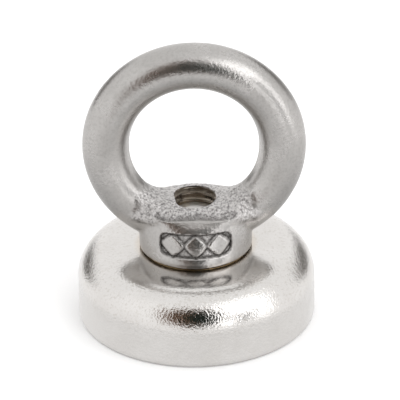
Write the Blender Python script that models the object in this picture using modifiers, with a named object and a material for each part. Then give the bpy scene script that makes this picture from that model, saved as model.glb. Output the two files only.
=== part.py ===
"""A round pot magnet with an eye nut screwed on top, as used for magnet fishing.

Metres, +Z up. The origin is the middle of the pull face, which rests on the ground at z = 0.
The lifting ring stands in the XZ plane, and the object's front looks towards -Y.
"""

import math

import bmesh
import bpy
from mathutils import Matrix

MM = 0.001

# Clearance between pieces that touch
GAP = 0.1 * MM
THIN_GAP = 0.05 * MM

# Pot
CUP_RADIUS = 24.0 * MM
CUP_HEIGHT = 15.0 * MM
TOP_FLAT_RADIUS = 15.0 * MM
CROWN_RADIUS = 25.0 * MM
CROWN_ANGLE = math.radians(7)
RIM_CHAMFER = 0.5 * MM
CAVITY_RADIUS = 19.6 * MM
CAVITY_DEPTH = 9.8 * MM

# Ring magnet, its potting rings and the bush in the middle
FACE_RECESS = 0.3 * MM
GAP_RING_WALL = 0.9 * MM
BUSH_RADIUS = 11.5 * MM
CLEARANCE_RADIUS = 5.35 * MM
COUNTERSINK_RADIUS = 10.4 * MM

# M10 thread: radii of the screw's ridges and grooves, and of the nut's
PITCH = 1.5 * MM
SCREW_CREST = 4.85 * MM
SCREW_ROOT = 3.97 * MM
NUT_CREST = 4.25 * MM
NUT_ROOT = 5.13 * MM
THREAD_STEPS = 24
CREST_SHARE = 0.16
ROOT_SHARE = 0.2

# Countersunk screw
SCREW_FACE = 0.4 * MM
SCREW_TOP = 22.2 * MM
HEAD_RADIUS = 9.4 * MM
HEAD_CLEARANCE = 0.21 * MM
NECK_RADIUS = 4.6 * MM
NECK_TOP = 8.5 * MM
RUNOUT = 0.4 * MM
TIP_CHAMFER = 0.7 * MM
DISH_RADIUS = 2.7 * MM
DISH_DEPTH = 0.6 * MM
HEX_ACROSS_FLATS = 6.0 * MM
HEX_DEPTH = 3.6 * MM

# Washer under the nut
WASHER_THICKNESS = 0.3 * MM
WASHER_RADIUS = 9.8 * MM
WASHER_HOLE = 5.2 * MM

# Eye nut
NUT_BASE = CUP_HEIGHT + WASHER_THICKNESS + 2 * THIN_GAP
COLLAR_RADIUS = 11.4 * MM
BOSS_TOP = 25.9 * MM
RING_CENTRE = 37.7 * MM
RING_RADIUS = 17.8 * MM
TUBE_RADIUS = 4.6 * MM
BORE_CHAMFER = 0.45 * MM


# The foot's sections above its rounded base: height, half width, half depth, squareness
FOOT_ROUNDING = 0.6 * MM
FOOT_SECTIONS = (
    (17.3 * MM, 11.4 * MM, 11.0 * MM, 2.0),
    (19.6 * MM, 11.4 * MM, 10.45 * MM, 2.0),
    (22.0 * MM, 11.35 * MM, 9.75 * MM, 2.2),
    (23.2 * MM, 11.2 * MM, 9.0 * MM, 2.6),
    (24.0 * MM, 10.9 * MM, 8.4 * MM, 3.3),
    (24.5 * MM, 10.6 * MM, 7.9 * MM, 4.0),
    (BOSS_TOP, 9.2 * MM, 5.5 * MM, 2.0),
)

# Recessed panel in the front of the foot, with three plain diamonds left standing in it
PANEL_CENTRE = 19.8 * MM
PANEL_WIDTH = 14.6 * MM
PANEL_HEIGHT = 4.9 * MM
PANEL_DEPTH = 0.55 * MM
DIAMOND_DEPTH = 0.12 * MM
DIAMOND_WIDTH = 4.2 * MM
DIAMOND_HEIGHT = 3.8 * MM
DIAMOND_PITCH = 4.6 * MM

STEPS = 56
FINE_STEPS = 40
RING_SEGMENTS = 48
TUBE_SEGMENTS = 16
BOSS_SEGMENTS = 40
MERGE = 0.00001
SMOOTH_ANGLE = math.radians(35)


def clear_scene():
    for old in list(bpy.data.objects):
        bpy.data.objects.remove(old, do_unlink=True)


def new_collection(name):
    collection = bpy.data.collections.new(name)
    bpy.context.scene.collection.children.link(collection)
    return collection


clear_scene()
PARTS = new_collection("magnet_fishing_magnet")
CUTTERS = new_collection("cutters")


def finish_of(name, colour, roughness, metallic):
    """A Principled material of one colour."""
    material = bpy.data.materials.new(name)
    material.use_nodes = True
    shader = material.node_tree.nodes["Principled BSDF"]
    shader.inputs["Base Color"].default_value = (*colour, 1)
    shader.inputs["Roughness"].default_value = roughness
    shader.inputs["Metallic"].default_value = metallic
    return material


def piece_from(name, mesh, material=None):
    """A node of the part, or a cutter if it has no material."""
    piece = bpy.data.objects.new(name, mesh)
    if material is None:
        CUTTERS.objects.link(piece)
        piece.hide_render = True
        piece.display_type = "WIRE"
    else:
        PARTS.objects.link(piece)
        mesh.materials.append(material)
    return piece


def turned(name, outline, material=None, closed=True, steps=STEPS):
    """A shape turned about Z. The outline's (radius, height) points run down its outer side.

    A closed outline makes a ring; an open one starts and ends on the axis.
    """
    points = [(radius, 0, height) for radius, height in outline]
    edges = [(i, i + 1) for i in range(len(points) - 1)]
    if closed:
        edges.append((len(points) - 1, 0))
    mesh = bpy.data.meshes.new(name)
    mesh.from_pydata(points, edges, [])
    piece = piece_from(name, mesh, material)
    turn = piece.modifiers.new("Turn", "SCREW")
    turn.steps = steps
    turn.render_steps = steps
    turn.use_merge_vertices = True
    turn.merge_threshold = MERGE
    turn.use_smooth_shade = False
    return piece


def boolean(piece, other, operation):
    step = piece.modifiers.new(other.name, "BOOLEAN")
    step.operation = operation
    step.object = other


def mesh_from(name, bm):
    bmesh.ops.recalc_face_normals(bm, faces=bm.faces)
    mesh = bpy.data.meshes.new(name)
    bm.to_mesh(mesh)
    bm.free()
    return mesh


def shade_smooth(piece):
    """Applies the modifiers and rounds the shading, but keeps the sharp edges."""
    graph = bpy.context.evaluated_depsgraph_get()
    mesh = bpy.data.meshes.new_from_object(piece.evaluated_get(graph), depsgraph=graph)
    piece.modifiers.clear()
    mesh.name = piece.name
    piece.data = mesh
    mesh.shade_smooth()
    mesh.set_sharp_from_angle(angle=SMOOTH_ANGLE)


def arc(centre, radius, start, end, count):
    """Points of an arc, at angles from the +Z axis, as (radius, height)."""
    points = []
    for i in range(count + 1):
        angle = start + (end - start) * i / count
        points.append((centre[0] + radius * math.sin(angle), centre[1] + radius * math.cos(angle)))
    return points


def shoulder_outline():
    """The pot's top: a flat, a slight crown, and a round shoulder that runs into the straight side."""
    crown = arc((TOP_FLAT_RADIUS, CUP_HEIGHT - CROWN_RADIUS), CROWN_RADIUS, 0, CROWN_ANGLE, 2)
    edge_radius, edge_height = crown[-1]
    radius = (CUP_RADIUS - edge_radius) / (1 - math.sin(CROWN_ANGLE))
    centre = (CUP_RADIUS - radius, edge_height - radius * math.cos(CROWN_ANGLE))
    shoulder = arc(centre, radius, CROWN_ANGLE, math.pi / 2, 7)
    return crown + shoulder[1:]


def make_cup(material):
    outline = [(CLEARANCE_RADIUS, CUP_HEIGHT)]
    outline += shoulder_outline()
    outline += [
        (CUP_RADIUS, RIM_CHAMFER),
        (CUP_RADIUS - RIM_CHAMFER, 0),
        (CAVITY_RADIUS, 0),
        (CAVITY_RADIUS, CAVITY_DEPTH),
        (CLEARANCE_RADIUS, CAVITY_DEPTH),
    ]
    return turned("steel_cup", outline, material)


def make_ring(name, outer, inner, top, bottom, material):
    """A plain turned ring."""
    return turned(name, [(inner, top), (outer, top), (outer, bottom), (inner, bottom)], material)


def make_fillings(magnet_metal, potting, bush_metal):
    """What fills the pot, from the wall to the middle: potting, magnet, potting, bush."""
    top = CAVITY_DEPTH - GAP
    outer = CAVITY_RADIUS - GAP
    inner = outer - GAP_RING_WALL
    make_ring("outer_gap_ring", outer, inner, top, FACE_RECESS, potting)
    sleeve = BUSH_RADIUS + GAP
    magnet_hole = sleeve + GAP_RING_WALL + GAP
    make_ring("ring_magnet", inner - GAP, magnet_hole, top, FACE_RECESS, magnet_metal)
    make_ring("inner_gap_ring", magnet_hole - GAP, sleeve, top, FACE_RECESS, potting)
    throat = COUNTERSINK_RADIUS - CLEARANCE_RADIUS
    bush = [
        (CLEARANCE_RADIUS, top),
        (BUSH_RADIUS, top),
        (BUSH_RADIUS, 0),
        (COUNTERSINK_RADIUS, 0),
        (CLEARANCE_RADIUS, throat),
    ]
    turned("centre_bush", bush, bush_metal)


def thread(name, crest, root, bottom, top):
    """A right-handed threaded rod, longer than bottom to top by about a turn each way.

    The thread's form, from one root to the next, is repeated at stations that climb the helix. The
    top of each station's form meets the foot of the station one turn further on. Every thread starts
    a whole number of pitches above z = 0, so that the screw and the nut are in mesh.
    """
    flank = (1 - CREST_SHARE - ROOT_SHARE) / 2
    form = ((0, root), (ROOT_SHARE, root), (ROOT_SHARE + flank, crest), (1 - flank, crest))
    start = PITCH * (math.floor(bottom / PITCH) - 1)
    turns = math.ceil((top - start) / PITCH) + 1
    bm = bmesh.new()
    stations = []
    for step in range(THREAD_STEPS * turns + 1):
        angle = 2 * math.pi * step / THREAD_STEPS
        foot = start + PITCH * step / THREAD_STEPS
        station = []
        for share, radius in form:
            place = (radius * math.cos(angle), radius * math.sin(angle), foot + share * PITCH)
            station.append(bm.verts.new(place))
        stations.append(station)
    for step, here in enumerate(stations[:-1]):
        ahead = stations[step + 1]
        for i in range(len(form) - 1):
            bm.faces.new((here[i], ahead[i], ahead[i + 1], here[i + 1]))
        if step + THREAD_STEPS + 1 < len(stations):
            above = stations[step + THREAD_STEPS]
            beyond = stations[step + THREAD_STEPS + 1]
            bm.faces.new((here[-1], ahead[-1], beyond[0], above[0]))
    middle = (bottom + top) / 2
    ends = [edge for edge in bm.edges if edge.is_boundary]
    close_end(bm, [edge for edge in ends if edge.verts[0].co.z < middle])
    close_end(bm, [edge for edge in ends if edge.verts[0].co.z > middle])
    return mesh_from(name, bm)


def close_end(bm, loop):
    """Closes an open loop with a fan round a point on the axis."""
    height = sum(edge.verts[0].co.z for edge in loop) / len(loop)
    hub = bm.verts.new((0, 0, height))
    for edge in loop:
        bm.faces.new((edge.verts[0], edge.verts[1], hub))


def hexagon_cutter(name, across_flats, bottom, top):
    bm = bmesh.new()
    corner = across_flats / math.sqrt(3)
    bmesh.ops.create_cone(bm, cap_ends=True, segments=6, radius1=corner, radius2=corner, depth=top - bottom)
    bmesh.ops.translate(bm, verts=bm.verts, vec=(0, 0, (top + bottom) / 2))
    return piece_from(name, mesh_from(name, bm))


def make_screw(material):
    """Countersunk socket screw: a threaded rod trimmed by an envelope, joined to its neck and head."""
    rod_mesh = thread("countersunk_screw", SCREW_CREST, SCREW_ROOT, NECK_TOP, SCREW_TOP)
    screw = piece_from("countersunk_screw", rod_mesh, material)
    outside = SCREW_CREST + GAP
    envelope = [
        (0, SCREW_TOP - DISH_DEPTH),
        (DISH_RADIUS, SCREW_TOP),
        (outside - TIP_CHAMFER, SCREW_TOP),
        (outside, SCREW_TOP - TIP_CHAMFER),
        (outside, NECK_TOP + RUNOUT),
        (outside - 2 * RUNOUT, NECK_TOP - RUNOUT),
        (0, NECK_TOP - RUNOUT),
    ]
    boolean(screw, turned("screw_envelope", envelope, closed=False, steps=FINE_STEPS), "INTERSECT")
    cone_foot = COUNTERSINK_RADIUS - HEAD_CLEARANCE - HEAD_RADIUS
    cone_top = COUNTERSINK_RADIUS - HEAD_CLEARANCE - NECK_RADIUS
    head = [
        (0, NECK_TOP),
        (NECK_RADIUS, NECK_TOP),
        (NECK_RADIUS, cone_top),
        (HEAD_RADIUS, cone_foot),
        (HEAD_RADIUS, SCREW_FACE),
        (0, SCREW_FACE),
    ]
    boolean(screw, turned("screw_head", head, closed=False, steps=FINE_STEPS), "UNION")
    socket = hexagon_cutter("hex_socket", HEX_ACROSS_FLATS, -PITCH, SCREW_FACE + HEX_DEPTH)
    boolean(screw, socket, "DIFFERENCE")


def superellipse(half_x, half_y, power, angle):
    """A point of a rounded rectangle; a power of 2 makes it an ellipse."""
    along = math.cos(angle)
    across = math.sin(angle)
    x = math.copysign(abs(along) ** (2 / power), along) * half_x
    y = math.copysign(abs(across) ** (2 / power), across) * half_y
    return x, y


def foot_sections():
    """Every section of the foot, from its rounded base up."""
    rounded = COLLAR_RADIUS - FOOT_ROUNDING
    eased = COLLAR_RADIUS - 0.3 * FOOT_ROUNDING
    base = (
        (NUT_BASE, rounded, rounded, 2.0),
        (NUT_BASE + 0.3 * FOOT_ROUNDING, eased, eased, 2.0),
        (NUT_BASE + FOOT_ROUNDING, COLLAR_RADIUS, COLLAR_RADIUS, 2.0),
    )
    return base + FOOT_SECTIONS


def make_foot(name, inset=0):
    """Lofts the foot of the eye nut through its sections, this far inside its upright surface.

    A round collar leans in as it rises and turns into a rounded block, whose roof falls away from
    the hole.
    """
    bm = bmesh.new()
    rows = []
    for height, half_x, half_y, power in foot_sections():
        row = []
        for i in range(BOSS_SEGMENTS):
            x, y = superellipse(half_x - inset, half_y - inset, power, 2 * math.pi * i / BOSS_SEGMENTS)
            row.append(bm.verts.new((x, y, height)))
        rows.append(row)
    for low, high in zip(rows, rows[1:]):
        for i in range(BOSS_SEGMENTS):
            j = (i + 1) % BOSS_SEGMENTS
            bm.faces.new((low[i], low[j], high[j], high[i]))
    bm.faces.new(reversed(rows[0]))
    bm.faces.new(rows[-1])
    return piece_from(name, mesh_from(name, bm))


def panel_block():
    """A block with round corners, in the XZ plane, that reaches through the front of the foot."""
    bm = bmesh.new()
    bmesh.ops.create_cube(bm, size=1)
    bmesh.ops.scale(bm, verts=bm.verts, vec=(PANEL_WIDTH, COLLAR_RADIUS, PANEL_HEIGHT))
    corners = [edge for edge in bm.edges if abs(edge.verts[0].co.y - edge.verts[1].co.y) > MERGE]
    bmesh.ops.bevel(bm, geom=corners, offset=0.35 * PANEL_HEIGHT, segments=4, profile=0.5, affect="EDGES")
    bmesh.ops.translate(bm, verts=bm.verts, vec=(0, -COLLAR_RADIUS, PANEL_CENTRE))
    return piece_from("panel", mesh_from("panel", bm))


def diamond_block(name, centre_x):
    """A diamond in the XZ plane that reaches through the front of the foot."""
    bm = bmesh.new()
    bmesh.ops.create_cone(bm, cap_ends=True, segments=4, radius1=0.5, radius2=0.5, depth=1)
    bmesh.ops.rotate(bm, verts=bm.verts, cent=(0, 0, 0), matrix=Matrix.Rotation(math.pi / 2, 3, "X"))
    bmesh.ops.scale(bm, verts=bm.verts, vec=(DIAMOND_WIDTH, COLLAR_RADIUS, DIAMOND_HEIGHT))
    bmesh.ops.translate(bm, verts=bm.verts, vec=(centre_x, -COLLAR_RADIUS, PANEL_CENTRE))
    return piece_from(name, mesh_from(name, bm))


def cut_panel(nut):
    """Sinks the panel into the front of the foot and raises its diamonds."""
    panel = panel_block()
    boolean(panel, make_foot("panel_floor", PANEL_DEPTH), "DIFFERENCE")
    boolean(nut, panel, "DIFFERENCE")
    diamond_face = make_foot("diamond_face", DIAMOND_DEPTH)
    for i in range(3):
        diamond = diamond_block(f"diamond_{i + 1}", (i - 1) * DIAMOND_PITCH)
        boolean(diamond, diamond_face, "INTERSECT")
        boolean(nut, diamond, "UNION")


def bore_cutter():
    """The nut's thread and the chamfers at its two mouths."""
    mesh = thread("nut_thread", NUT_ROOT, NUT_CREST, NUT_BASE, BOSS_TOP)
    return piece_from("nut_thread", mesh)


def mouth_cutter(name, height, outward):
    """A cone that opens a mouth of the bore. outward is 1 at the top and -1 at the base."""
    wide = NUT_CREST + BORE_CHAMFER + PITCH
    mouth = height + outward * PITCH
    tip = height - outward * BORE_CHAMFER
    if outward > 0:
        outline = [(0, mouth), (wide, mouth), (NUT_CREST, tip), (0, tip)]
    else:
        outline = [(0, tip), (NUT_CREST, tip), (wide, mouth), (0, mouth)]
    return turned(name, outline, closed=False, steps=FINE_STEPS)


def make_eye_nut(material):
    bpy.ops.mesh.primitive_torus_add(
        major_radius=RING_RADIUS,
        minor_radius=TUBE_RADIUS,
        major_segments=RING_SEGMENTS,
        minor_segments=TUBE_SEGMENTS,
        location=(0, 0, RING_CENTRE),
        rotation=(math.pi / 2, 0, 0),
    )
    nut = bpy.context.object
    for collection in list(nut.users_collection):
        collection.objects.unlink(nut)
    PARTS.objects.link(nut)
    nut.name = "eye_nut"
    nut.data.name = "eye_nut"
    nut.data.materials.append(material)
    boolean(nut, make_foot("nut_foot"), "UNION")
    cut_panel(nut)
    boolean(nut, bore_cutter(), "DIFFERENCE")
    boolean(nut, mouth_cutter("top_mouth", BOSS_TOP, 1), "DIFFERENCE")
    boolean(nut, mouth_cutter("base_mouth", NUT_BASE, -1), "DIFFERENCE")


def make_washer(material):
    bottom = CUP_HEIGHT + THIN_GAP
    make_ring("shim_washer", WASHER_RADIUS, WASHER_HOLE, bottom + WASHER_THICKNESS, bottom, material)


def main():
    make_cup(finish_of("nickel_plate", (0.71, 0.69, 0.66), 0.22, 1.0))
    make_fillings(
        finish_of("magnet_nickel", (0.62, 0.61, 0.6), 0.3, 1.0),
        finish_of("potting_resin", (0.04, 0.04, 0.042), 0.5, 0.0),
        finish_of("bush_nickel", (0.68, 0.67, 0.65), 0.25, 1.0),
    )
    make_screw(finish_of("screw_steel", (0.55, 0.54, 0.52), 0.35, 1.0))
    make_washer(finish_of("washer_steel", (0.4, 0.39, 0.38), 0.4, 1.0))
    make_eye_nut(finish_of("cast_stainless", (0.58, 0.56, 0.53), 0.33, 1.0))
    for piece in list(PARTS.objects):
        shade_smooth(piece)


main()
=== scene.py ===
"""Looks for the magnet fishing magnet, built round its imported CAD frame.

Metres, +Z up. Shapes are worked out in millimetres and scaled at the end.
"""

import math

import bmesh
import bpy
import numpy as np
from mathutils import Matrix, Vector


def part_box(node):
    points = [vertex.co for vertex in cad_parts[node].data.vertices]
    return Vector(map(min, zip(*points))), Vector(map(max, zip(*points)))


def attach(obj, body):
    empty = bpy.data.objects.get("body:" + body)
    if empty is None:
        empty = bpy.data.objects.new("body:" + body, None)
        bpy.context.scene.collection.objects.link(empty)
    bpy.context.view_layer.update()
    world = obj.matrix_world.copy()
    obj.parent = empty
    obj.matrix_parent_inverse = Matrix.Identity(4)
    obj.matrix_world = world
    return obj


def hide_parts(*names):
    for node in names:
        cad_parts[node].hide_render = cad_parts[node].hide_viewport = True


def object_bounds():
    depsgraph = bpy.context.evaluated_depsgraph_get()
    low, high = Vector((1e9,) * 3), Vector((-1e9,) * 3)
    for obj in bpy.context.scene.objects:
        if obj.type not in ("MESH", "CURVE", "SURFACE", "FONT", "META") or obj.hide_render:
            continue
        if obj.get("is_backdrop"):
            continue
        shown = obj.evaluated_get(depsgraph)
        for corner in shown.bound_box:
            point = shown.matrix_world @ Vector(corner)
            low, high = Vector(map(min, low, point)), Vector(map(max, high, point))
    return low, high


MM = 0.001

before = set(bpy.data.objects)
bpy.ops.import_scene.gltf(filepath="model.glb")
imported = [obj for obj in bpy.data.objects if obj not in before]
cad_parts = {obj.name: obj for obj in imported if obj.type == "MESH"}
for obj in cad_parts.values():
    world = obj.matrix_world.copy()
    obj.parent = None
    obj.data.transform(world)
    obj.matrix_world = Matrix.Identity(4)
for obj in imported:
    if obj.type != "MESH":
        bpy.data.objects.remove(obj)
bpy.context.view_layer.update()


def box_mm(node):
    """Lowest and highest corner of a CAD node in millimetres."""
    low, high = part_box(node)
    return np.array(low) / MM, np.array(high) / MM


CUP_HIGH = box_mm("steel_cup")[1]
NUT_LOW, NUT_HIGH = box_mm("eye_nut")
SCREW_LOW, SCREW_HIGH = box_mm("countersunk_screw")
WASHER_LOW, WASHER_HIGH = box_mm("shim_washer")
BUSH_HIGH = box_mm("centre_bush")[1]
MAGNET_LOW, MAGNET_HIGH = box_mm("ring_magnet")
OUTER_LOW, OUTER_HIGH = box_mm("outer_gap_ring")
INNER_LOW, INNER_HIGH = box_mm("inner_gap_ring")

# Pot, in millimetres
TOP_FLAT = 15.0
CROWN_RADIUS = 25.0
CROWN_ANGLE = math.radians(7)
RIM_ROUNDING = 0.5
CAVITY_RADIUS = 19.6
CAVITY_DEPTH = 9.8
CLEARANCE = 5.35
COUNTERSINK = 10.4
MOUTH_CHAMFER = 0.25
POTTING_WALL = 0.9
POTTING_SAG = 0.32

# Turned meshes: steps round the pot, its inner pieces and what only cuts or is hidden
TURN_STEPS = 288
INNER_STEPS = 192
WORK_STEPS = 96
SHARP_TURNED = 40
MIN_RADIUS = 1e-9

# Screw and thread, in millimetres
PITCH = 1.5
SCREW_CREST, SCREW_ROOT = 4.85, 3.97
NUT_CREST, NUT_ROOT = 4.25, 5.13
CREST_SHARE, ROOT_SHARE = 0.16, 0.2
THREAD_STEPS = 72
FORM_POINTS = 16
NECK_TOP = 8.5
NECK_RADIUS = 4.6
HEAD_CLEARANCE = 0.21
TIP_CHAMFER = 0.7
DISH_RADIUS, DISH_DEPTH = 2.7, 0.6
HEX_FLATS, HEX_DEPTH = 6.0, 3.6

# Washer, in millimetres: it stands out further than the CAD's, to show under the nut
WASHER_BORE = 5.2
WASHER_EXTRA = 0.9

# Eye nut, in millimetres
TUBE = 4.6
RING = NUT_HIGH[0] - TUBE
RING_Z = NUT_HIGH[2] - TUBE - RING
NUT_BASE = WASHER_HIGH[2] + 0.05
BOSS_TOP = 25.9
ROOF_SLOPE = math.radians(29)
ROOF_START = 5.3
ROOF_LENGTH = 0.6
TOP_CHAMFER, BASE_CHAMFER = 0.2, 0.35
VOXEL = 0.28

# The panel sunk in the nut's front, with three raised diamonds, in millimetres
PANEL_Z = 19.8
PANEL_HALF_X, PANEL_HALF_Z, PANEL_CORNER = 7.3, 2.5, 1.7
PANEL_SUNK, DIAMOND_RAISED = 0.55, 0.45
DIAMOND_PITCH = 4.6
DIAMOND_HALF_X, DIAMOND_HALF_Z = 2.1, 2.0
DIAMOND_POWER = 1.25


# ---------------------------------------------------------------- meshes


def add_piece(name, mesh, node, body, material):
    """A piece that stands for a CAD node, rides on its body and has its material."""
    piece = bpy.data.objects.new(name, mesh)
    bpy.context.scene.collection.objects.link(piece)
    mesh.materials.clear()
    mesh.materials.append(material)
    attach(piece, body)
    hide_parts(node)


def mesh_of(name, points, faces, sharp=None):
    """A smooth-shaded mesh from millimetres, with edges sharp over this many degrees."""
    mesh = bpy.data.meshes.new(name)
    mesh.from_pydata([tuple(p) for p in np.asarray(points) * MM], [], faces)
    mesh.update()
    mesh.shade_smooth()
    if sharp is not None:
        mesh.set_sharp_from_angle(angle=math.radians(sharp))
    return mesh


def lathe(name, outline, steps=TURN_STEPS, closed=True):
    """Turns (radius, height) points, given down their outer side, about Z."""
    outline = np.array(outline, float)
    angles = np.arange(steps) * 2 * math.pi / steps
    on_axis = outline[:, 0] < MIN_RADIUS
    index = []
    points = []
    for (radius, height), axis in zip(outline, on_axis):
        start = len(points)
        if axis:
            points.append((0, 0, height))
            index.append([start] * steps)
        else:
            points += [
                (radius * math.cos(a), radius * math.sin(a), height) for a in angles
            ]
            index.append([start + i for i in range(steps)])
    faces = []
    last = len(outline) if closed else len(outline) - 1
    for k in range(last):
        here, there = index[k], index[(k + 1) % len(outline)]
        for i in range(steps):
            j = (i + 1) % steps
            ring = [here[i], there[i], there[j], here[j]]
            face = list(dict.fromkeys(ring))
            if len(face) > 2:
                faces.append(face)
    return mesh_of(name, points, faces, SHARP_TURNED)


def arc(centre, radius, start, end, count):
    """Points of an arc in (radius, height), at degrees from +Z towards the outside."""
    out = []
    for i in range(count + 1):
        a = math.radians(start + (end - start) * i / count)
        out.append((centre[0] + radius * math.sin(a), centre[1] + radius * math.cos(a)))
    return out


def boolean(piece, cutter, operation):
    """Applies a Boolean at once and drops the cutter."""
    step = piece.modifiers.new("cut", "BOOLEAN")
    step.operation = operation
    step.object = cutter
    step.solver = "EXACT"
    graph = bpy.context.evaluated_depsgraph_get()
    graph.update()
    mesh = bpy.data.meshes.new_from_object(piece.evaluated_get(graph), depsgraph=graph)
    piece.modifiers.clear()
    old = piece.data
    piece.data = mesh
    bpy.data.meshes.remove(old)
    drop(cutter)


def scratch(name, mesh):
    """An object for work in hand."""
    piece = bpy.data.objects.new(name, mesh)
    bpy.context.scene.collection.objects.link(piece)
    return piece


def drop(piece):
    """Removes an object, and its mesh if nothing else uses it."""
    mesh = piece.data
    bpy.data.objects.remove(piece, do_unlink=True)
    if not mesh.users:
        bpy.data.meshes.remove(mesh)


def thread_form(crest, root):
    """(share of the pitch, radius) of one thread with its corners slightly rounded."""
    fine = 240
    rounding = fine // 14
    share = (np.arange(fine) + 0.5) / fine
    flank = (1 - CREST_SHARE - ROOT_SHARE) / 2
    corners = (0, ROOT_SHARE, ROOT_SHARE + flank, 1 - flank, 1)
    radius = np.interp(share, corners, (root, root, crest, crest, root))
    window = np.hanning(rounding + 2)[1:-1]
    window /= window.sum()
    padded = np.concatenate([radius[-rounding:], radius, radius[:rounding]])
    smooth = np.convolve(padded, window, "same")[rounding:-rounding]
    at = np.arange(FORM_POINTS) / FORM_POINTS
    return [(s, float(np.interp(s, share, smooth, period=1))) for s in at]


def thread_rod(name, crest, root, bottom, top):
    """A right-handed threaded rod that reaches a turn or so past bottom and top.

    It starts a whole number of pitches from z = 0, as the CAD threads do, so that the
    screw and the nut mesh.
    """
    form = thread_form(crest, root)
    start = PITCH * (math.floor(bottom / PITCH) - 1)
    turns = math.ceil((top - start) / PITCH) + 1
    count = THREAD_STEPS * turns + 1
    points = []
    for step in range(count):
        angle = 2 * math.pi * step / THREAD_STEPS
        foot = start + PITCH * step / THREAD_STEPS
        across, along = math.cos(angle), math.sin(angle)
        for share, radius in form:
            points.append((radius * across, radius * along, foot + share * PITCH))
    size = len(form)
    faces = []
    for step in range(count - 1):
        a, b = step * size, (step + 1) * size
        for i in range(size - 1):
            faces.append((a + i, b + i, b + i + 1, a + i + 1))
        if step + THREAD_STEPS + 1 < count:
            c, d = (step + THREAD_STEPS) * size, (step + THREAD_STEPS + 1) * size
            faces.append((a + size - 1, b + size - 1, d, c))
    bm = bmesh.new()
    verts = [bm.verts.new(np.array(p) * MM) for p in points]
    for face in faces:
        bm.faces.new([verts[i] for i in face])
    middle = (bottom + top) / 2 * MM
    edges = [e for e in bm.edges if e.is_boundary]
    for side in (1, -1):
        loop = [e for e in edges if (e.verts[0].co.z - middle) * side > 0]
        height = sum(e.verts[0].co.z for e in loop) / len(loop)
        hub = bm.verts.new((0, 0, height))
        for e in loop:
            bm.faces.new((e.verts[0], e.verts[1], hub))
    bmesh.ops.recalc_face_normals(bm, faces=bm.faces)
    mesh = bpy.data.meshes.new(name)
    bm.to_mesh(mesh)
    bm.free()
    return mesh


# ---------------------------------------------------------------- eye nut as a field


def smooth_min(a, b, reach):
    """The lower of a and b, with a fillet of about this reach where they meet."""
    h = np.maximum(reach - np.abs(a - b), 0) / reach
    return np.minimum(a, b) - h * h * reach / 4


def smooth_max(a, b, reach):
    return -smooth_min(-a, -b, reach)


def soft_blend(a, b, reach):
    """As smooth_min, with the curvature smooth too, so that the fillet shows no line."""
    h = np.maximum(reach - np.abs(a - b), 0) / reach
    return np.minimum(a, b) - h * h * h * reach / 6


TABLE_STEP = 0.05
TABLE_ROUNDING = 0.8


def smoothed_table(heights, values):
    """Values along z, straight between the given heights and then rounded."""
    z = np.arange(heights[0] - 2, heights[-1] + 2, TABLE_STEP)
    flat = np.interp(z, heights, values)
    window = np.hanning(int(TABLE_ROUNDING / TABLE_STEP) + 2)[1:-1]
    window /= window.sum()
    half = len(window) // 2
    padded = np.pad(flat, half, mode="edge")
    out = np.convolve(padded, window, "same")[half : half + len(z)]
    return z, out


# The foot's section at each height: half width, half depth and power (2 is an oval)
FOOT_Z = (15.4, 16.3, 17.3, 19.6, 22.0, 23.2, 24.0, 24.6, 25.9)
FOOT_X = (11.4, 11.4, 11.4, 11.4, 11.35, 11.0, 10.4, 9.8, 8.6)
FOOT_Y = (11.4, 11.35, 11.0, 10.45, 9.7, 8.9, 8.2, 7.65, 6.2)
FOOT_P = (2.0, 2.0, 2.0, 2.0, 2.1, 2.4, 3.1, 4.6, 5.0)
TABLE_X = smoothed_table(FOOT_Z, FOOT_X)
TABLE_Y = smoothed_table(FOOT_Z, FOOT_Y)
TABLE_P = smoothed_table(FOOT_Z, FOOT_P)


LATTICE = 32


def lattice_noise(p, size, seed):
    """Smooth random values from -1 to 1 that change over about this many millimetres."""
    lattice = np.random.default_rng(seed).uniform(-1, 1, (LATTICE, LATTICE, LATTICE))
    q = p / size
    cell = np.floor(q).astype(int)
    t = q - cell
    t = t * t * (3 - 2 * t)
    total = 0
    for dx in (0, 1):
        for dy in (0, 1):
            for dz in (0, 1):
                near = np.abs((1 - dx, 1 - dy, 1 - dz) - t)
                weight = near[:, 0] * near[:, 1] * near[:, 2]
                i, j, k = ((cell + (dx, dy, dz)) % LATTICE).T
                total = total + weight * lattice[i, j, k]
    return total


def step_up(value, low, high):
    """0 below low, 1 above high and a smooth rise between."""
    t = np.clip((value - low) / (high - low), 0, 1)
    return t * t * (3 - 2 * t)


def round_box(x, z, half_x, half_z, corner):
    """Distance to a rounded rectangle, negative inside."""
    qx, qz = np.abs(x) - half_x + corner, np.abs(z) - half_z + corner
    outside = np.hypot(np.maximum(qx, 0), np.maximum(qz, 0))
    return outside + np.minimum(np.maximum(qx, qz), 0) - corner


def ring_distance(x, y, z):
    """Distance to the lifting ring's surface."""
    return np.hypot(np.hypot(x, z - RING_Z) - RING, y) - TUBE


def foot_side(x, y, z):
    """About the distance to the foot's upright side."""
    hx, hy = np.interp(z, *TABLE_X), np.interp(z, *TABLE_Y)
    power = np.interp(z, *TABLE_P)
    u, v = np.abs(x) / hx + 1e-9, np.abs(y) / hy + 1e-9
    total = u**power + v**power
    gauge = total ** (1 / power)
    scale = total ** (1 / power - 1)
    slope = np.hypot(scale * u ** (power - 1) / hx, scale * v ** (power - 1) / hy)
    return (gauge - 1) / slope


def foot_roof(x, y, z):
    """Distance to the flat top and to the oval roof that falls away from it.

    The oval is longer at the front than at the back.
    """
    top = z - BOSS_TOP
    length = ROOF_LENGTH + 0.16 * np.clip(y / 5, -1, 1)
    out = np.hypot(y, length * x) - ROOF_START
    fall = out * math.sin(ROOF_SLOPE) + top * math.cos(ROOF_SLOPE)
    return smooth_max(top, fall, 0.5)


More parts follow.
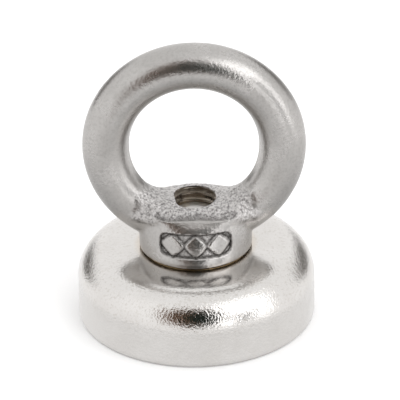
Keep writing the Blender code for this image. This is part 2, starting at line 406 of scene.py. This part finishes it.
def panel_shapes(x, z):
    """About the distances to the panel's outline and the nearest diamond's."""
    up = z - PANEL_Z
    panel = round_box(x, up, PANEL_HALF_X, PANEL_HALF_Z, PANEL_CORNER)
    along = np.abs(x)
    along = np.where(along > DIAMOND_PITCH / 2, along - DIAMOND_PITCH, along)
    wide = (np.abs(along) / DIAMOND_HALF_X) ** DIAMOND_POWER
    high = (np.abs(up) / DIAMOND_HALF_Z) ** DIAMOND_POWER
    return panel, (wide + high - 1) * 1.2


def panel_depth(x, y, z):
    """How far the surface is sunk at the front panel, with its diamonds left standing."""
    panel, diamond = panel_shapes(x, z)
    sunk = PANEL_SUNK * (1 - step_up(panel, -0.3, 0.05))
    raised = DIAMOND_RAISED * (1 - step_up(diamond, -0.1, 0.2))
    return np.where(y < 0, np.maximum(sunk - raised, 0), 0)


def nut_field(p):
    """About the distance to the eye nut's surface in millimetres, negative inside."""
    x, y, z = p.T
    # A faint parting line runs round the inside of the ring.
    inner = step_up(RING - np.hypot(x, z - RING_Z), 3.2, 4.4)
    ring = ring_distance(x, y, z) - 0.16 * np.exp(-((y / 0.3) ** 2)) * inner
    side = foot_side(x, y, z)
    foot = smooth_max(side, foot_roof(x, y, z), 0.12)
    field = soft_blend(ring, foot, fillet_reach(z))
    field = smooth_max(field, NUT_BASE - z, 0.25)
    field = field + panel_depth(x, y, z)
    field = field + 0.18 * crease_groove(side, z)
    rough = rough_zone(p)
    grit = 0.07 * lattice_noise(p, 0.95, 3) + 0.06 * lattice_noise(p, 0.55, 5)
    field = field + rough * grit
    return field + (1 - rough) * 0.02 * lattice_noise(p, 3.4, 7)


def fillet_reach(z):
    """How wide the ring's fillet to the foot is: tight at the collar, wide at the roof."""
    return 0.9 + 3.6 * step_up(z, 20.5, 24.5)


def crease_groove(side, z):
    """1 along the groove just inside the edge between the foot's side and roof."""
    groove = np.exp(-(((side + 0.4) / 0.24) ** 2))
    return groove * step_up(z, 24.0, 24.4) * (1 - step_up(z, 25.1, 25.6))


def painted_shade_lines(p):
    """Painted shade lines: 1 round the sunk panel's border and diamonds, and less in the
    groove at the front, in the corners where shade falls.
    """
    x, y, z = p.T
    panel, diamond = panel_shapes(x, z)
    front = np.where(y < 0, 1.0, 0.0)
    border = np.exp(-(((panel + 0.35) / 0.22) ** 2))
    outline = np.exp(-(((diamond - 0.3) / 0.2) ** 2)) * (panel < 0)
    crease = 0.6 * crease_groove(foot_side(x, y, z), z) * (y < -2)
    return np.maximum(np.maximum(border, outline) * front, crease)


def rough_zone(p):
    """1 on the foot's rough-cast roof, in its panel and its upper fillets, else 0."""
    x, y, z = p.T
    side = foot_side(x, y, z)
    roof = foot_roof(x, y, z)
    ring = ring_distance(x, y, z)
    near_roof = 1 - step_up(np.abs(roof), 0.3, 0.9)
    on_roof = step_up(-side, 0.1, 0.6) * near_roof * step_up(ring, 0.2, 1.5)
    in_panel = step_up(panel_depth(x, y, z), 0.2, 0.45)
    apart = np.abs(ring - np.maximum(side, roof)) / fillet_reach(z)
    in_fillet = 0.85 * (1 - step_up(apart, 0.35, 0.9)) * step_up(z, 22.3, 23.6)
    return np.maximum(np.maximum(on_roof, in_panel), in_fillet)


def field_gradient(p):
    """The field's slope along each axis."""
    step = 0.02
    out = np.empty_like(p)
    for axis in range(3):
        move = np.zeros(3)
        move[axis] = step
        out[:, axis] = (nut_field(p + move) - nut_field(p - move)) / (2 * step)
    return out


def surface_net(low, high, size):
    """Vertices and quads of the nut's surface on a grid of this size, in millimetres.

    Each cell that the surface passes through gets one vertex, at the mean of the
    places where the surface crosses the cell's edges.
    """
    counts = np.ceil((high - low) / size).astype(int) + 1
    axes = [low[k] + size * np.arange(counts[k]) for k in range(3)]
    values = np.empty(counts, np.float32)
    plane_x, plane_y = np.meshgrid(axes[0], axes[1], indexing="ij")
    for k, height in enumerate(axes[2]):
        level = np.full(plane_x.size, height)
        p = np.stack([plane_x.ravel(), plane_y.ravel(), level], 1)
        values[:, :, k] = nut_field(p).reshape(plane_x.shape)
    inside = values < 0
    corners = [(dx, dy, dz) for dx in (0, 1) for dy in (0, 1) for dz in (0, 1)]
    cells = counts - 1

    def part(array, offset):
        dx, dy, dz = offset
        return array[dx : dx + cells[0], dy : dy + cells[1], dz : dz + cells[2]]

    number = sum(part(inside, c).astype(np.int8) for c in corners)
    active = (number > 0) & (number < 8)
    where = np.argwhere(active)
    index = np.full(cells, -1, np.int64)
    index[active] = np.arange(len(where))
    total = np.zeros((len(where), 3))
    hits = np.zeros(len(where))
    for a in corners:
        for axis in range(3):
            if a[axis]:
                continue
            b = list(a)
            b[axis] = 1
            va = part(values, a)[active].astype(float)
            vb = part(values, tuple(b))[active].astype(float)
            crossing = (va < 0) != (vb < 0)
            t = np.where(crossing, va / np.where(crossing, va - vb, 1), 0)
            place = np.tile(np.array(a, float), (len(where), 1))
            place[:, axis] += t
            total += place * crossing[:, None]
            hits += crossing
    points = low + size * (where + total / hits[:, None])
    faces = []
    for axis in range(3):
        other = [k for k in range(3) if k != axis]
        first = inside.take(range(cells[axis]), axis=axis)
        second = inside.take(range(1, cells[axis] + 1), axis=axis)
        spots = np.argwhere(first != second)
        across = spots[:, other]
        spots = spots[((across > 0) & (across < cells[other])).all(1)]
        entering = first[spots[:, 0], spots[:, 1], spots[:, 2]]
        quad = []
        for da, db in ((0, 0), (-1, 0), (-1, -1), (0, -1)):
            cell = spots.copy()
            cell[:, other[0]] += da
            cell[:, other[1]] += db
            quad.append(index[cell[:, 0], cell[:, 1], cell[:, 2]])
        quad = np.stack(quad, 1)
        turn = entering if axis != 1 else ~entering
        quad[~turn] = quad[~turn][:, ::-1]
        faces.append(quad)
    return points, np.concatenate(faces)


def project(points):
    """Moves points onto the surface."""
    for _ in range(3):
        value = nut_field(points)
        slope = field_gradient(points)
        square = np.maximum((slope**2).sum(1), 0.2)
        move = np.clip(value / square, -0.25, 0.25)
        points = points - slope * move[:, None]
    return points


def store(mesh, name, values):
    """Keeps a value for each point, which the materials read by this name."""
    layer = mesh.attributes.new(name, "FLOAT", "POINT")
    layer.data.foreach_set("value", np.asarray(values, np.float32))


def points_of(mesh):
    """The mesh's points in millimetres."""
    co = np.zeros(len(mesh.vertices) * 3)
    mesh.vertices.foreach_get("co", co)
    return co.reshape(-1, 3) / MM


# ---------------------------------------------------------------- node helpers


class Paint:
    """Adds nodes to one material or world."""

    def __init__(self, owner):
        owner.use_nodes = True
        self.tree = owner.node_tree

    def node(self, kind, **settings):
        made = self.tree.nodes.new(kind)
        for key, value in settings.items():
            setattr(made, key, value)
        return made

    def put(self, socket, value):
        if isinstance(value, bpy.types.NodeSocket):
            self.tree.links.new(value, socket)
        elif value is not None:
            socket.default_value = value

    def math(self, operation, a, b=None):
        made = self.node("ShaderNodeMath", operation=operation)
        self.put(made.inputs[0], a)
        self.put(made.inputs[1], b)
        return made.outputs[0]

    def times(self, a, b):
        return self.math("MULTIPLY", a, b)

    def less(self, value, share=1.0):
        """1 less this share of a value."""
        return self.math("SUBTRACT", 1.0, self.times(value, share))

    def vector(self, operation, a, b=None):
        made = self.node("ShaderNodeVectorMath", operation=operation)
        self.put(made.inputs[0], a)
        self.put(made.inputs[1], b)
        single = operation in ("DOT_PRODUCT", "LENGTH")
        return made.outputs["Value" if single else "Vector"]

    def height(self, place):
        split = self.node("ShaderNodeSeparateXYZ")
        self.put(split.inputs[0], place)
        return split.outputs[2]

    def radius(self, place):
        """Distance from the object's axis."""
        return self.vector("LENGTH", self.vector("MULTIPLY", place, (1, 1, 0)))

    def noise(self, where, scale, detail, roughness):
        made = self.node("ShaderNodeTexNoise", noise_dimensions="3D")
        self.put(made.inputs["Vector"], where)
        made.inputs["Scale"].default_value = scale
        made.inputs["Detail"].default_value = detail
        made.inputs["Roughness"].default_value = roughness
        return made.outputs[0]

    def cells(self, where, scale):
        made = self.node("ShaderNodeTexVoronoi", feature="F1")
        self.put(made.inputs["Vector"], where)
        made.inputs["Scale"].default_value = scale
        return made.outputs["Distance"]

    def between(self, value, low, high, start=0.0, end=1.0):
        """A smooth change from start to end as the value goes from low to high."""
        made = self.node("ShaderNodeMapRange", interpolation_type="SMOOTHSTEP")
        self.put(made.inputs["Value"], value)
        made.inputs["From Min"].default_value = low
        made.inputs["From Max"].default_value = high
        self.put(made.inputs["To Min"], start)
        self.put(made.inputs["To Max"], end)
        return made.outputs["Result"]

    def mix(self, factor, a, b):
        """A colour between a and b, each a colour or a socket."""
        made = self.node("ShaderNodeMix", data_type="RGBA")
        self.put(made.inputs["Factor"], factor)
        for socket, value in zip(made.inputs[6:8], (a, b)):
            plain = not isinstance(value, bpy.types.NodeSocket)
            self.put(socket, (*value, 1) if plain else value)
        return made.outputs[2]

    def bump(self, height, distance, normal=None):
        made = self.node("ShaderNodeBump")
        made.inputs["Strength"].default_value = 1.0
        made.inputs["Distance"].default_value = distance
        self.put(made.inputs["Height"], height)
        self.put(made.inputs["Normal"], normal)
        return made.outputs["Normal"]

    def attribute(self, name):
        return self.node("ShaderNodeAttribute", attribute_name=name).outputs["Fac"]


def new_material(name):
    """A material, its paint, its shader and the place on the object in metres."""
    material = bpy.data.materials.new(name)
    paint = Paint(material)
    shader = paint.tree.nodes["Principled BSDF"]
    place = paint.node("ShaderNodeTexCoord").outputs["Object"]
    return material, paint, shader, place


def new_metal(name):
    material, paint, shader, place = new_material(name)
    shader.inputs["Metallic"].default_value = 1.0
    return material, paint, shader, place


# ---------------------------------------------------------------- materials


# Heights and distances are in metres here, and a noise's scale is in cells a metre.
NICKEL = (0.69, 0.672, 0.652), (0.66, 0.64, 0.618)
# Painted reflection: the brown tint on the pot's flat top round the nut
NICKEL_PAINTED_REFLECTION = (0.60, 0.53, 0.45)
NICKEL_SPECK = (0.46, 0.415, 0.36)
TUMBLED = (0.50, 0.485, 0.47), (0.445, 0.43, 0.415)
TUMBLED_GRAIN = (0.36, 0.35, 0.335)
ROUGH_CAST = (0.2, 0.19, 0.19), (0.78, 0.76, 0.75)
RECESS_PAINTED_SHADE = (0.24, 0.23, 0.215)
PAINTED_SHADE_LINE = (0.07, 0.064, 0.058)
BORE_PAINTED_SHADE = (0.42, 0.37, 0.31)
BUSH_COLOURS = (0.78, 0.765, 0.735), (0.71, 0.695, 0.665)
WASHER_COLOURS = (0.50, 0.40, 0.26), (0.42, 0.33, 0.20)
SCREW_COLOURS = (0.66, 0.65, 0.63), (0.58, 0.565, 0.545)
SCREW_END = (0.88, 0.865, 0.84)
SCREW_THREAD_PAINTED_SHADE = (0.34, 0.3, 0.25)
MAGNET_COLOURS = (0.76, 0.745, 0.72), (0.68, 0.665, 0.64)
MAGNET_PIT = (0.5, 0.48, 0.45)
RESIN_COLOURS = (0.018, 0.018, 0.02), (0.045, 0.045, 0.048)
FLOOR_COLOURS = (0.93, 0.93, 0.93), (0.95, 0.95, 0.95)


def nickel_plate():
    """Bright nickel: mirror-like on the flat top, pebbled on the shoulder, satin below."""
    material, paint, shader, place = new_metal("bright_nickel")
    z = paint.height(place)
    flat = paint.between(z, 0.0144, 0.01498)
    side = paint.between(z, 0.0085, 0.006)
    clouds = paint.noise(place, 160, 4, 0.6)
    specks = paint.noise(place, 1900, 2, 0.6)
    colour = paint.mix(paint.between(clouds, 0.35, 0.7), *NICKEL)
    # Painted reflection and shade: a brown tint under and close round the nut stands in for
    # the nut and its shadowed gap mirrored in the flat top.
    painted_reflection = paint.times(paint.between(paint.radius(place), 0.0130, 0.0113), flat)
    colour = paint.mix(paint.times(painted_reflection, 0.6), colour, NICKEL_PAINTED_REFLECTION)
    speckle = paint.between(specks, 0.5, 0.72, 0, 0.3)
    speckle = paint.times(speckle, paint.less(side, 0.75))
    colour = paint.mix(speckle, colour, NICKEL_SPECK)
    paint.put(shader.inputs["Base Color"], colour)
    rough = paint.between(clouds, 0.3, 0.75, 0.1, 0.14)
    rough = paint.math("ADD", rough, paint.times(side, 0.13))
    rough = paint.math("ADD", rough, paint.times(flat, 0.03))
    paint.put(shader.inputs["Roughness"], rough)
    peel = paint.noise(place, 2000, 2, 0.6)
    wave = paint.noise(place, 420, 2, 0.5)
    amount = paint.math("SUBTRACT", paint.less(flat, 0.8), paint.times(side, 0.55))
    normal = paint.bump(wave, 0.00003)
    normal = paint.bump(paint.times(peel, amount), 0.00009, normal)
    paint.put(shader.inputs["Normal"], normal)
    return material


def satin_cast():
    """Cast stainless: tumbled satin, rough-cast, and with painted shade in the sunk panel,
    the bore and along dark lines, where the mesh says so.
    """
    material, paint, shader, place = new_metal("satin_cast_stainless")
    rough_cast = paint.attribute("rough_cast")
    bore = paint.attribute("bore")
    clouds = paint.noise(place, 130, 4, 0.6)
    grain = paint.noise(place, 1900, 3, 0.7)
    grit = paint.noise(place, 2000, 3, 0.7)
    base = paint.mix(paint.between(clouds, 0.32, 0.7), *TUMBLED)
    base = paint.mix(paint.between(grain, 0.42, 0.7, 0, 0.6), base, TUMBLED_GRAIN)
    cast = paint.mix(paint.between(grit, 0.33, 0.58), *ROUGH_CAST)
    base = paint.mix(paint.times(rough_cast, 0.8), base, cast)
    # Painted shade: the sunk panel's floor is darkened
    base = paint.mix(paint.times(paint.attribute("sunk_panel_shade"), 0.3), base, RECESS_PAINTED_SHADE)
    # Painted shade: nearly black lines round the panel's border and diamonds and in the
    # front crease
    base = paint.mix(paint.attribute("painted_shade_lines"), base, PAINTED_SHADE_LINE)
    # Painted shade: the bore's thread is darker and browner, standing in for the shade
    # inside the hole
    base = paint.mix(bore, base, BORE_PAINTED_SHADE)
    paint.put(shader.inputs["Base Color"], base)
    rough = paint.between(clouds, 0.3, 0.75, 0.26, 0.32)
    rough = paint.math("ADD", rough, paint.times(rough_cast, 0.2))
    rough = paint.math("SUBTRACT", rough, paint.times(bore, 0.08))
    paint.put(shader.inputs["Roughness"], rough)
    fine = paint.noise(place, 1800, 2, 0.6)
    coarse = paint.noise(place, 1100, 3, 0.6)
    normal = paint.bump(fine, 0.000058)
    normal = paint.bump(paint.times(coarse, rough_cast), 0.0007, normal)
    paint.put(shader.inputs["Normal"], normal)
    return material


def turned_steel(name, colours, roughness):
    """Turned metal with fine rings about its axis."""
    material, paint, shader, place = new_metal(name)
    clouds = paint.noise(place, 300, 3, 0.6)
    patchy = paint.between(clouds, 0.3, 0.7)
    paint.put(shader.inputs["Base Color"], paint.mix(patchy, *colours))
    rough = paint.between(clouds, 0.3, 0.7, roughness, roughness + 0.08)
    paint.put(shader.inputs["Roughness"], rough)
    rings = paint.math("SINE", paint.times(paint.radius(place), 9000))
    uneven = paint.times(rings, paint.noise(place, 700, 2, 0.5))
    normal = paint.bump(uneven, 0.000004)
    normal = paint.bump(paint.noise(place, 2500, 2, 0.5), 0.00001, normal)
    paint.put(shader.inputs["Normal"], normal)
    return material


def screw_metal():
    """Stainless screw, with brown painted shade down in the thread, and pale on its dished
    end.
    """
    material, paint, shader, place = new_metal("rolled_stainless")
    z = paint.height(place)
    end = paint.between(z, 0.0214, 0.0217)
    # Painted shade: the thread's roots are darker and browner
    thread_shade = paint.between(paint.radius(place), 0.0047, 0.0041)
    thread_shade = paint.times(thread_shade, paint.less(end))
    # The painted shade stops above the head, so it stays out of the hex socket.
    thread_shade = paint.times(thread_shade, paint.between(z, 0.0085, 0.0095))
    clouds = paint.noise(place, 500, 3, 0.6)
    base = paint.mix(paint.between(clouds, 0.3, 0.7), *SCREW_COLOURS)
    base = paint.mix(end, base, SCREW_END)
    paint.put(shader.inputs["Base Color"], paint.mix(thread_shade, base, SCREW_THREAD_PAINTED_SHADE))
    rough = paint.between(clouds, 0.3, 0.7, 0.3, 0.42)
    rough = paint.math("ADD", rough, paint.times(end, 0.15))
    paint.put(shader.inputs["Roughness"], rough)
    normal = paint.bump(paint.noise(place, 2600, 3, 0.6), 0.00002)
    paint.put(shader.inputs["Normal"], normal)
    return material


def magnet_plate():
    """Sintered magnet under nickel: brighter patches and fine pits."""
    material, paint, shader, place = new_metal("plated_magnet")
    clouds = paint.noise(place, 220, 4, 0.6)
    base = paint.mix(paint.between(clouds, 0.3, 0.7), *MAGNET_COLOURS)
    pits = paint.between(paint.cells(place, 1500), 0.1, 0.25)
    paint.put(shader.inputs["Base Color"], paint.mix(pits, MAGNET_PIT, base))
    rough = paint.between(clouds, 0.3, 0.7, 0.24, 0.34)
    paint.put(shader.inputs["Roughness"], rough)
    normal = paint.bump(pits, 0.000006)
    normal = paint.bump(paint.noise(place, 1800, 2, 0.5), 0.000014, normal)
    paint.put(shader.inputs["Normal"], normal)
    return material


def potting_resin():
    """Poured black resin, glossy in places, with small dimples."""
    material, paint, shader, place = new_material("black_resin")
    clouds = paint.noise(place, 350, 3, 0.6)
    paint.put(shader.inputs["Base Color"], paint.mix(clouds, *RESIN_COLOURS))
    rough = paint.between(clouds, 0.3, 0.7, 0.3, 0.55)
    paint.put(shader.inputs["Roughness"], rough)
    normal = paint.bump(paint.noise(place, 900, 3, 0.6), 0.00004)
    paint.put(shader.inputs["Normal"], normal)
    return material


def floor_paint():
    material, paint, shader, place = new_material("pale_floor")
    clouds = paint.noise(place, 6, 2, 0.5)
    paint.put(shader.inputs["Base Color"], paint.mix(clouds, *FLOOR_COLOURS))
    shader.inputs["Roughness"].default_value = 0.9
    shader.inputs["Specular IOR Level"].default_value = 0.1
    return material


# ---------------------------------------------------------------- pieces


def shoulder():
    """The pot's top from the edge of its flat: a slight crown, then the round shoulder."""
    height, radius = CUP_HIGH[2], CUP_HIGH[0]
    degrees = math.degrees(CROWN_ANGLE)
    crown = arc((TOP_FLAT, height - CROWN_RADIUS), CROWN_RADIUS, 0, degrees, 6)
    edge = crown[-1]
    bend = (radius - edge[0]) / (1 - math.sin(CROWN_ANGLE))
    centre = (radius - bend, edge[1] - bend * math.cos(CROWN_ANGLE))
    return crown + arc(centre, bend, degrees, 90, 36)[1:]


def make_cup(material):
    height, radius = CUP_HIGH[2], CUP_HIGH[0]
    outline = [(CLEARANCE, height - MOUTH_CHAMFER), (CLEARANCE + MOUTH_CHAMFER, height)]
    outline += [(r, height) for r in (8, 10, 12, 13.5)]
    outline += shoulder()
    outline += [(radius, z) for z in (7, 6, 5, 4, 3, 2, 1.2)]
    outline += arc((radius - RIM_ROUNDING, RIM_ROUNDING), RIM_ROUNDING, 90, 180, 6)
    outline += arc((CAVITY_RADIUS + 0.2, 0.2), 0.2, 180, 270, 4)
    outline += [(CAVITY_RADIUS, CAVITY_DEPTH), (CLEARANCE, CAVITY_DEPTH)]
    mesh = lathe("cup_shell", outline)
    add_piece("cup_shell", mesh, "steel_cup", "pot", material)


def ring_outline(inner, outer, bottom, top, rounding):
    """A turned ring with rounded corners."""
    r = rounding
    outline = arc((inner + r, top - r), r, -90, 0, 4)
    outline += arc((outer - r, top - r), r, 0, 90, 4)
    outline += arc((outer - r, bottom + r), r, 90, 180, 4)
    outline += arc((inner + r, bottom + r), r, 180, 270, 4)
    return outline


def make_magnet(material):
    inner = INNER_HIGH[0] + 0.1
    outline = ring_outline(inner, MAGNET_HIGH[0], MAGNET_LOW[2], MAGNET_HIGH[2], 0.35)
    mesh = lathe("magnet_ring", outline, INNER_STEPS)
    add_piece("magnet_ring", mesh, "ring_magnet", "pot", material)


def make_potting(name, node, low, high, material):
    """A poured ring in this box, its face hollow between the walls it clings to."""
    outer, inner = high[0], high[0] - POTTING_WALL
    outline = [(inner, high[2]), (outer, high[2])]
    for i in range(9):
        share = i / 8
        hollow = POTTING_SAG * math.sin(math.pi * share)
        outline.append((outer + (inner - outer) * share, low[2] + hollow))
    mesh = lathe(name, outline, INNER_STEPS)
    add_piece(name, mesh, node, "pot", material)


def make_bush(material):
    top, radius = BUSH_HIGH[2], BUSH_HIGH[0]
    throat = COUNTERSINK - CLEARANCE
    outline = [(CLEARANCE, top), (radius - 0.3, top), (radius, top - 0.3)]
    outline += [(radius, 0.25), (radius - 0.25, 0)]
    outline += [(COUNTERSINK + 0.1, 0), (COUNTERSINK, 0.04), (CLEARANCE, throat)]
    mesh = lathe("bush_sleeve", outline, INNER_STEPS)
    add_piece("bush_sleeve", mesh, "centre_bush", "pot", material)


def solid_lathe(name, outline, steps=WORK_STEPS):
    """A turned solid for a Boolean. Its outline starts and ends on the axis."""
    return scratch(name, lathe(name, outline, steps, closed=False))


def screw_envelope():
    """The turned outside that cuts the thread off: a dished, chamfered end and a foot."""
    top = SCREW_HIGH[2]
    outside = SCREW_CREST + 0.1
    chamfer = outside - TIP_CHAMFER
    outline = [(0, top - DISH_DEPTH), (0.9, top - DISH_DEPTH)]
    outline += [(1.7, top - 0.85 * DISH_DEPTH), (2.3, top - 0.4 * DISH_DEPTH)]
    outline += [(DISH_RADIUS, top - 0.04), (DISH_RADIUS + 0.25, top)]
    outline += [(chamfer - 0.1, top), (chamfer + 0.08, top - 0.08)]
    outline += [(outside, top - TIP_CHAMFER), (outside, NECK_TOP + 0.4)]
    outline += [(outside - 0.8, NECK_TOP - 0.4), (0, NECK_TOP - 0.4)]
    return solid_lathe("envelope", outline)


def screw_head():
    """The neck and the cone that sits in the bush's countersink."""
    face, radius = SCREW_LOW[2], SCREW_HIGH[0]
    cone = COUNTERSINK - HEAD_CLEARANCE
    outline = [(0, NECK_TOP), (NECK_RADIUS, NECK_TOP), (NECK_RADIUS, cone - NECK_RADIUS)]
    outline += [(radius, cone - radius), (radius, face + 0.12)]
    outline += [(radius - 0.12, face), (0, face)]
    return solid_lathe("head", outline)


def hex_socket():
    """A six-sided hole from below, with a drilled point."""
    face = SCREW_LOW[2]
    corner = HEX_FLATS / math.sqrt(3)
    outline = [(0, face + HEX_DEPTH + 0.9), (corner, face + HEX_DEPTH)]
    outline += [(corner, face - 2), (0, face - 2)]
    return solid_lathe("socket", outline, 6)


def finished(piece, name, sharp):
    """The mesh of work in hand, shaded, with the object dropped."""
    mesh = piece.data.copy()
    mesh.name = name
    drop(piece)
    mesh.shade_smooth()
    mesh.set_sharp_from_angle(angle=math.radians(sharp))
    return mesh


def make_screw(material):
    rod = thread_rod("screw_work", SCREW_CREST, SCREW_ROOT, NECK_TOP, SCREW_HIGH[2])
    piece = scratch("screw_work", rod)
    boolean(piece, screw_envelope(), "INTERSECT")
    boolean(piece, screw_head(), "UNION")
    boolean(piece, hex_socket(), "DIFFERENCE")
    mesh = finished(piece, "screw_body", 30)
    add_piece("screw_body", mesh, "countersunk_screw", "pot", material)


def make_washer(material):
    outer = WASHER_HIGH[0] + WASHER_EXTRA
    outline = ring_outline(WASHER_BORE, outer, WASHER_LOW[2], WASHER_HIGH[2], 0.1)
    mesh = lathe("washer_disc", outline, INNER_STEPS)
    add_piece("washer_disc", mesh, "shim_washer", "washer", material)


def mouth_cutter(height, out, depth):
    """A cone that chamfers the nut's thread at this height; out is 1 for the top's."""
    far, near = height + 2 * out, height - depth * out
    wide = NUT_CREST + depth + 2
    outline = [(0, far), (wide, far), (NUT_CREST, near), (0, near)]
    return solid_lathe("mouth", outline if out > 0 else outline[::-1])


def store_layers(mesh):
    """Where the nut is rough-cast, sunk or threaded, and where it takes painted shade (the
    sunk panel, the bore, the dark lines), for its material.
    """
    co = points_of(mesh)
    x, y, z = co.T
    bore = (1 - step_up(np.hypot(x, y), 5.12, 5.3)) * (1 - step_up(z, 25.5, 25.75))
    store(mesh, "rough_cast", rough_zone(co))
    # Painted shade mask: where the panel is sunk
    store(mesh, "sunk_panel_shade", step_up(panel_depth(x, y, z), 0.25, 0.5))
    store(mesh, "bore", bore)
    store(mesh, "painted_shade_lines", painted_shade_lines(co) * (1 - bore))


def make_nut(material):
    margin = 3 * VOXEL
    low = np.array([NUT_LOW[0], NUT_LOW[1], NUT_BASE]) - margin
    points, quads = surface_net(low, NUT_HIGH + margin, VOXEL)
    points = project(points)
    mesh = mesh_of("nut_work", points, [tuple(q) for q in quads.tolist()])
    piece = scratch("nut_work", mesh)
    rod = thread_rod("nut_thread", NUT_ROOT, NUT_CREST, NUT_BASE, BOSS_TOP)
    boolean(piece, scratch("nut_thread", rod), "DIFFERENCE")
    boolean(piece, mouth_cutter(BOSS_TOP, 1, TOP_CHAMFER), "DIFFERENCE")
    boolean(piece, mouth_cutter(NUT_BASE, -1, BASE_CHAMFER), "DIFFERENCE")
    mesh = finished(piece, "eye_nut_body", 50)
    store_layers(mesh)
    add_piece("eye_nut_body", mesh, "eye_nut", "nut", material)


# ---------------------------------------------------------------- stage


def direction(azimuth, elevation):
    """Azimuth 0 is towards the viewer (-Y) and 90 towards +X."""
    a, e = math.radians(azimuth), math.radians(elevation)
    return Vector((math.sin(a) * math.cos(e), -math.cos(a) * math.cos(e), math.sin(e)))


# Patches of the sky, each over the ones before it: azimuth, elevation, half width and
# half height in degrees, softness, whether it is a rectangle, and its colour
SKY_PATCHES = (
    # Dark places behind on both sides
    (-140, 4, 18, 12, 0.4, False, (0.17, 0.16, 0.15)),
    (140, 8, 20, 14, 0.4, False, (0.2, 0.19, 0.18)),
    # The softboxes
    (-56, 28, 21, 28, 0.35, True, (1.2, 1.2, 1.2)),
    (45, 25, 24, 32, 0.3, True, (2.5, 2.5, 2.52)),
    # A grey notch in the right one, so that from behind the pot's top isn't all white
    (45, 6, 10, 19, 0.35, False, (0.5, 0.5, 0.5)),
    # The dark round the viewer: a brown edge, then nearly black
    (-5, 22, 27, 32, 0.2, False, (0.2, 0.12, 0.08)),
    (3, 21, 18, 28, 0.35, False, (0.014, 0.022, 0.018)),
)
SKY_LOW, SKY_HIGH = (1.13, 1.125, 1.125), (1.08, 1.08, 1.08)
SKY_BELOW = (0.66, 0.66, 0.66)

FLOOR_Z = -0.02
FLOOR_RADII = (60, 400, 3500)

# The camera, in metres: where it stands from its aim, and its aim from the middle
CAMERA_DISTANCE = 0.878
CAMERA_ELEVATION = math.radians(29.2)
CAMERA_ROLL = math.radians(0.95)
CAMERA_LENS = 391.9
AIM_DROP, AIM_RIGHT, AIM_UP = 0.00605, 0.000986, 0.000866


def patch(paint, ray, azimuth, elevation, half_width, half_height, soft, square):
    """1 in an oval or a rectangle of the sky, given in degrees, and 0 outside."""
    centre = direction(azimuth, elevation)
    right = direction(azimuth + 90, 0)
    up = centre.cross(right) * -1
    up = up if up.z > 0 else -up
    reaches = []
    for axis, half in ((right, half_width), (up, half_height)):
        along = paint.vector("DOT_PRODUCT", ray, axis)
        reaches.append(paint.math("DIVIDE", along, math.sin(math.radians(half))))
    a, b = reaches
    if square:
        reach = paint.math("MAXIMUM", paint.math("ABSOLUTE", a), paint.math("ABSOLUTE", b))
    else:
        squares = paint.math("ADD", paint.times(a, a), paint.times(b, b))
        reach = paint.math("SQRT", squares)
    inside = paint.between(reach, 1 + soft, 1 - soft)
    facing = paint.between(paint.vector("DOT_PRODUCT", ray, centre), 0.0, 0.1)
    return paint.times(inside, facing)


def make_world():
    """A white light tent, dark round the viewer, with a softbox on each side."""
    world = bpy.data.worlds.new("light_tent")
    bpy.context.scene.world = world
    paint = Paint(world)
    shader = paint.tree.nodes["Background"]
    ray = paint.node("ShaderNodeTexCoord").outputs["Generated"]
    z = paint.height(ray)
    sky = paint.mix(paint.between(z, -0.1, 0.9), SKY_LOW, SKY_HIGH)
    # The floor isn't seen in reflections, so the sky darkens below the horizon instead.
    sky = paint.mix(paint.between(z, -0.3, -0.95), sky, SKY_BELOW)
    for *shape, colour in SKY_PATCHES:
        sky = paint.mix(patch(paint, ray, *shape), sky, colour)
    paint.put(shader.inputs["Color"], sky)
    shader.inputs["Strength"].default_value = 1.0


def make_lights():
    """A wide soft lamp above, left out of reflections."""
    lamp = bpy.data.lights.new("overhead", "AREA")
    lamp.shape = "DISK"
    lamp.size = 1.6
    lamp.energy = 5.0
    holder = bpy.data.objects.new("overhead", lamp)
    holder.location = (0.0, -0.1, 1.3)
    holder.visible_glossy = False
    bpy.context.scene.collection.objects.link(holder)


def make_floor():
    """A wide plain disc just under the pot."""
    outline = [(0, FLOOR_Z)] + [(radius, FLOOR_Z) for radius in FLOOR_RADII]
    mesh = lathe("floor_disc", outline, WORK_STEPS, closed=False)
    mesh.flip_normals()
    floor = scratch("floor_disc", mesh)
    mesh.materials.append(floor_paint())
    floor.visible_glossy = False
    floor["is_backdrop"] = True


def make_camera():
    """A long lens from the photograph's angle."""
    low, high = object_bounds()
    centre = (low + high) / 2
    sine, cosine = math.sin(CAMERA_ELEVATION), math.cos(CAMERA_ELEVATION)
    back = Vector((0, -cosine, sine))
    right, up = Vector((1, 0, 0)), Vector((0, sine, cosine))
    cam_right = right * math.cos(CAMERA_ROLL) - up * math.sin(CAMERA_ROLL)
    cam_up = right * math.sin(CAMERA_ROLL) + up * math.cos(CAMERA_ROLL)
    aim = Vector((0, 0, centre.z - AIM_DROP)) + cam_right * AIM_RIGHT + cam_up * AIM_UP
    camera = bpy.data.cameras.new("view")
    camera.sensor_width = 36
    camera.lens = CAMERA_LENS
    camera.clip_start, camera.clip_end = 0.05, 20
    holder = bpy.data.objects.new("view", camera)
    turn = Matrix((cam_right, cam_up, back)).transposed()
    place = Matrix.Translation(aim + back * CAMERA_DISTANCE)
    holder.matrix_world = place @ turn.to_4x4()
    bpy.context.scene.collection.objects.link(holder)
    bpy.context.scene.camera = holder


def make_pieces():
    make_cup(nickel_plate())
    make_magnet(magnet_plate())
    resin = potting_resin()
    make_potting("potting_outer", "outer_gap_ring", OUTER_LOW, OUTER_HIGH, resin)
    make_potting("potting_inner", "inner_gap_ring", INNER_LOW, INNER_HIGH, resin)
    make_bush(turned_steel("turned_bush", BUSH_COLOURS, 0.2))
    make_screw(screw_metal())
    make_washer(turned_steel("shim_steel", WASHER_COLOURS, 0.3))
    make_nut(satin_cast())


make_pieces()
make_world()
make_lights()
make_floor()
make_camera()
bpy.context.scene.view_settings.view_transform = "Standard"
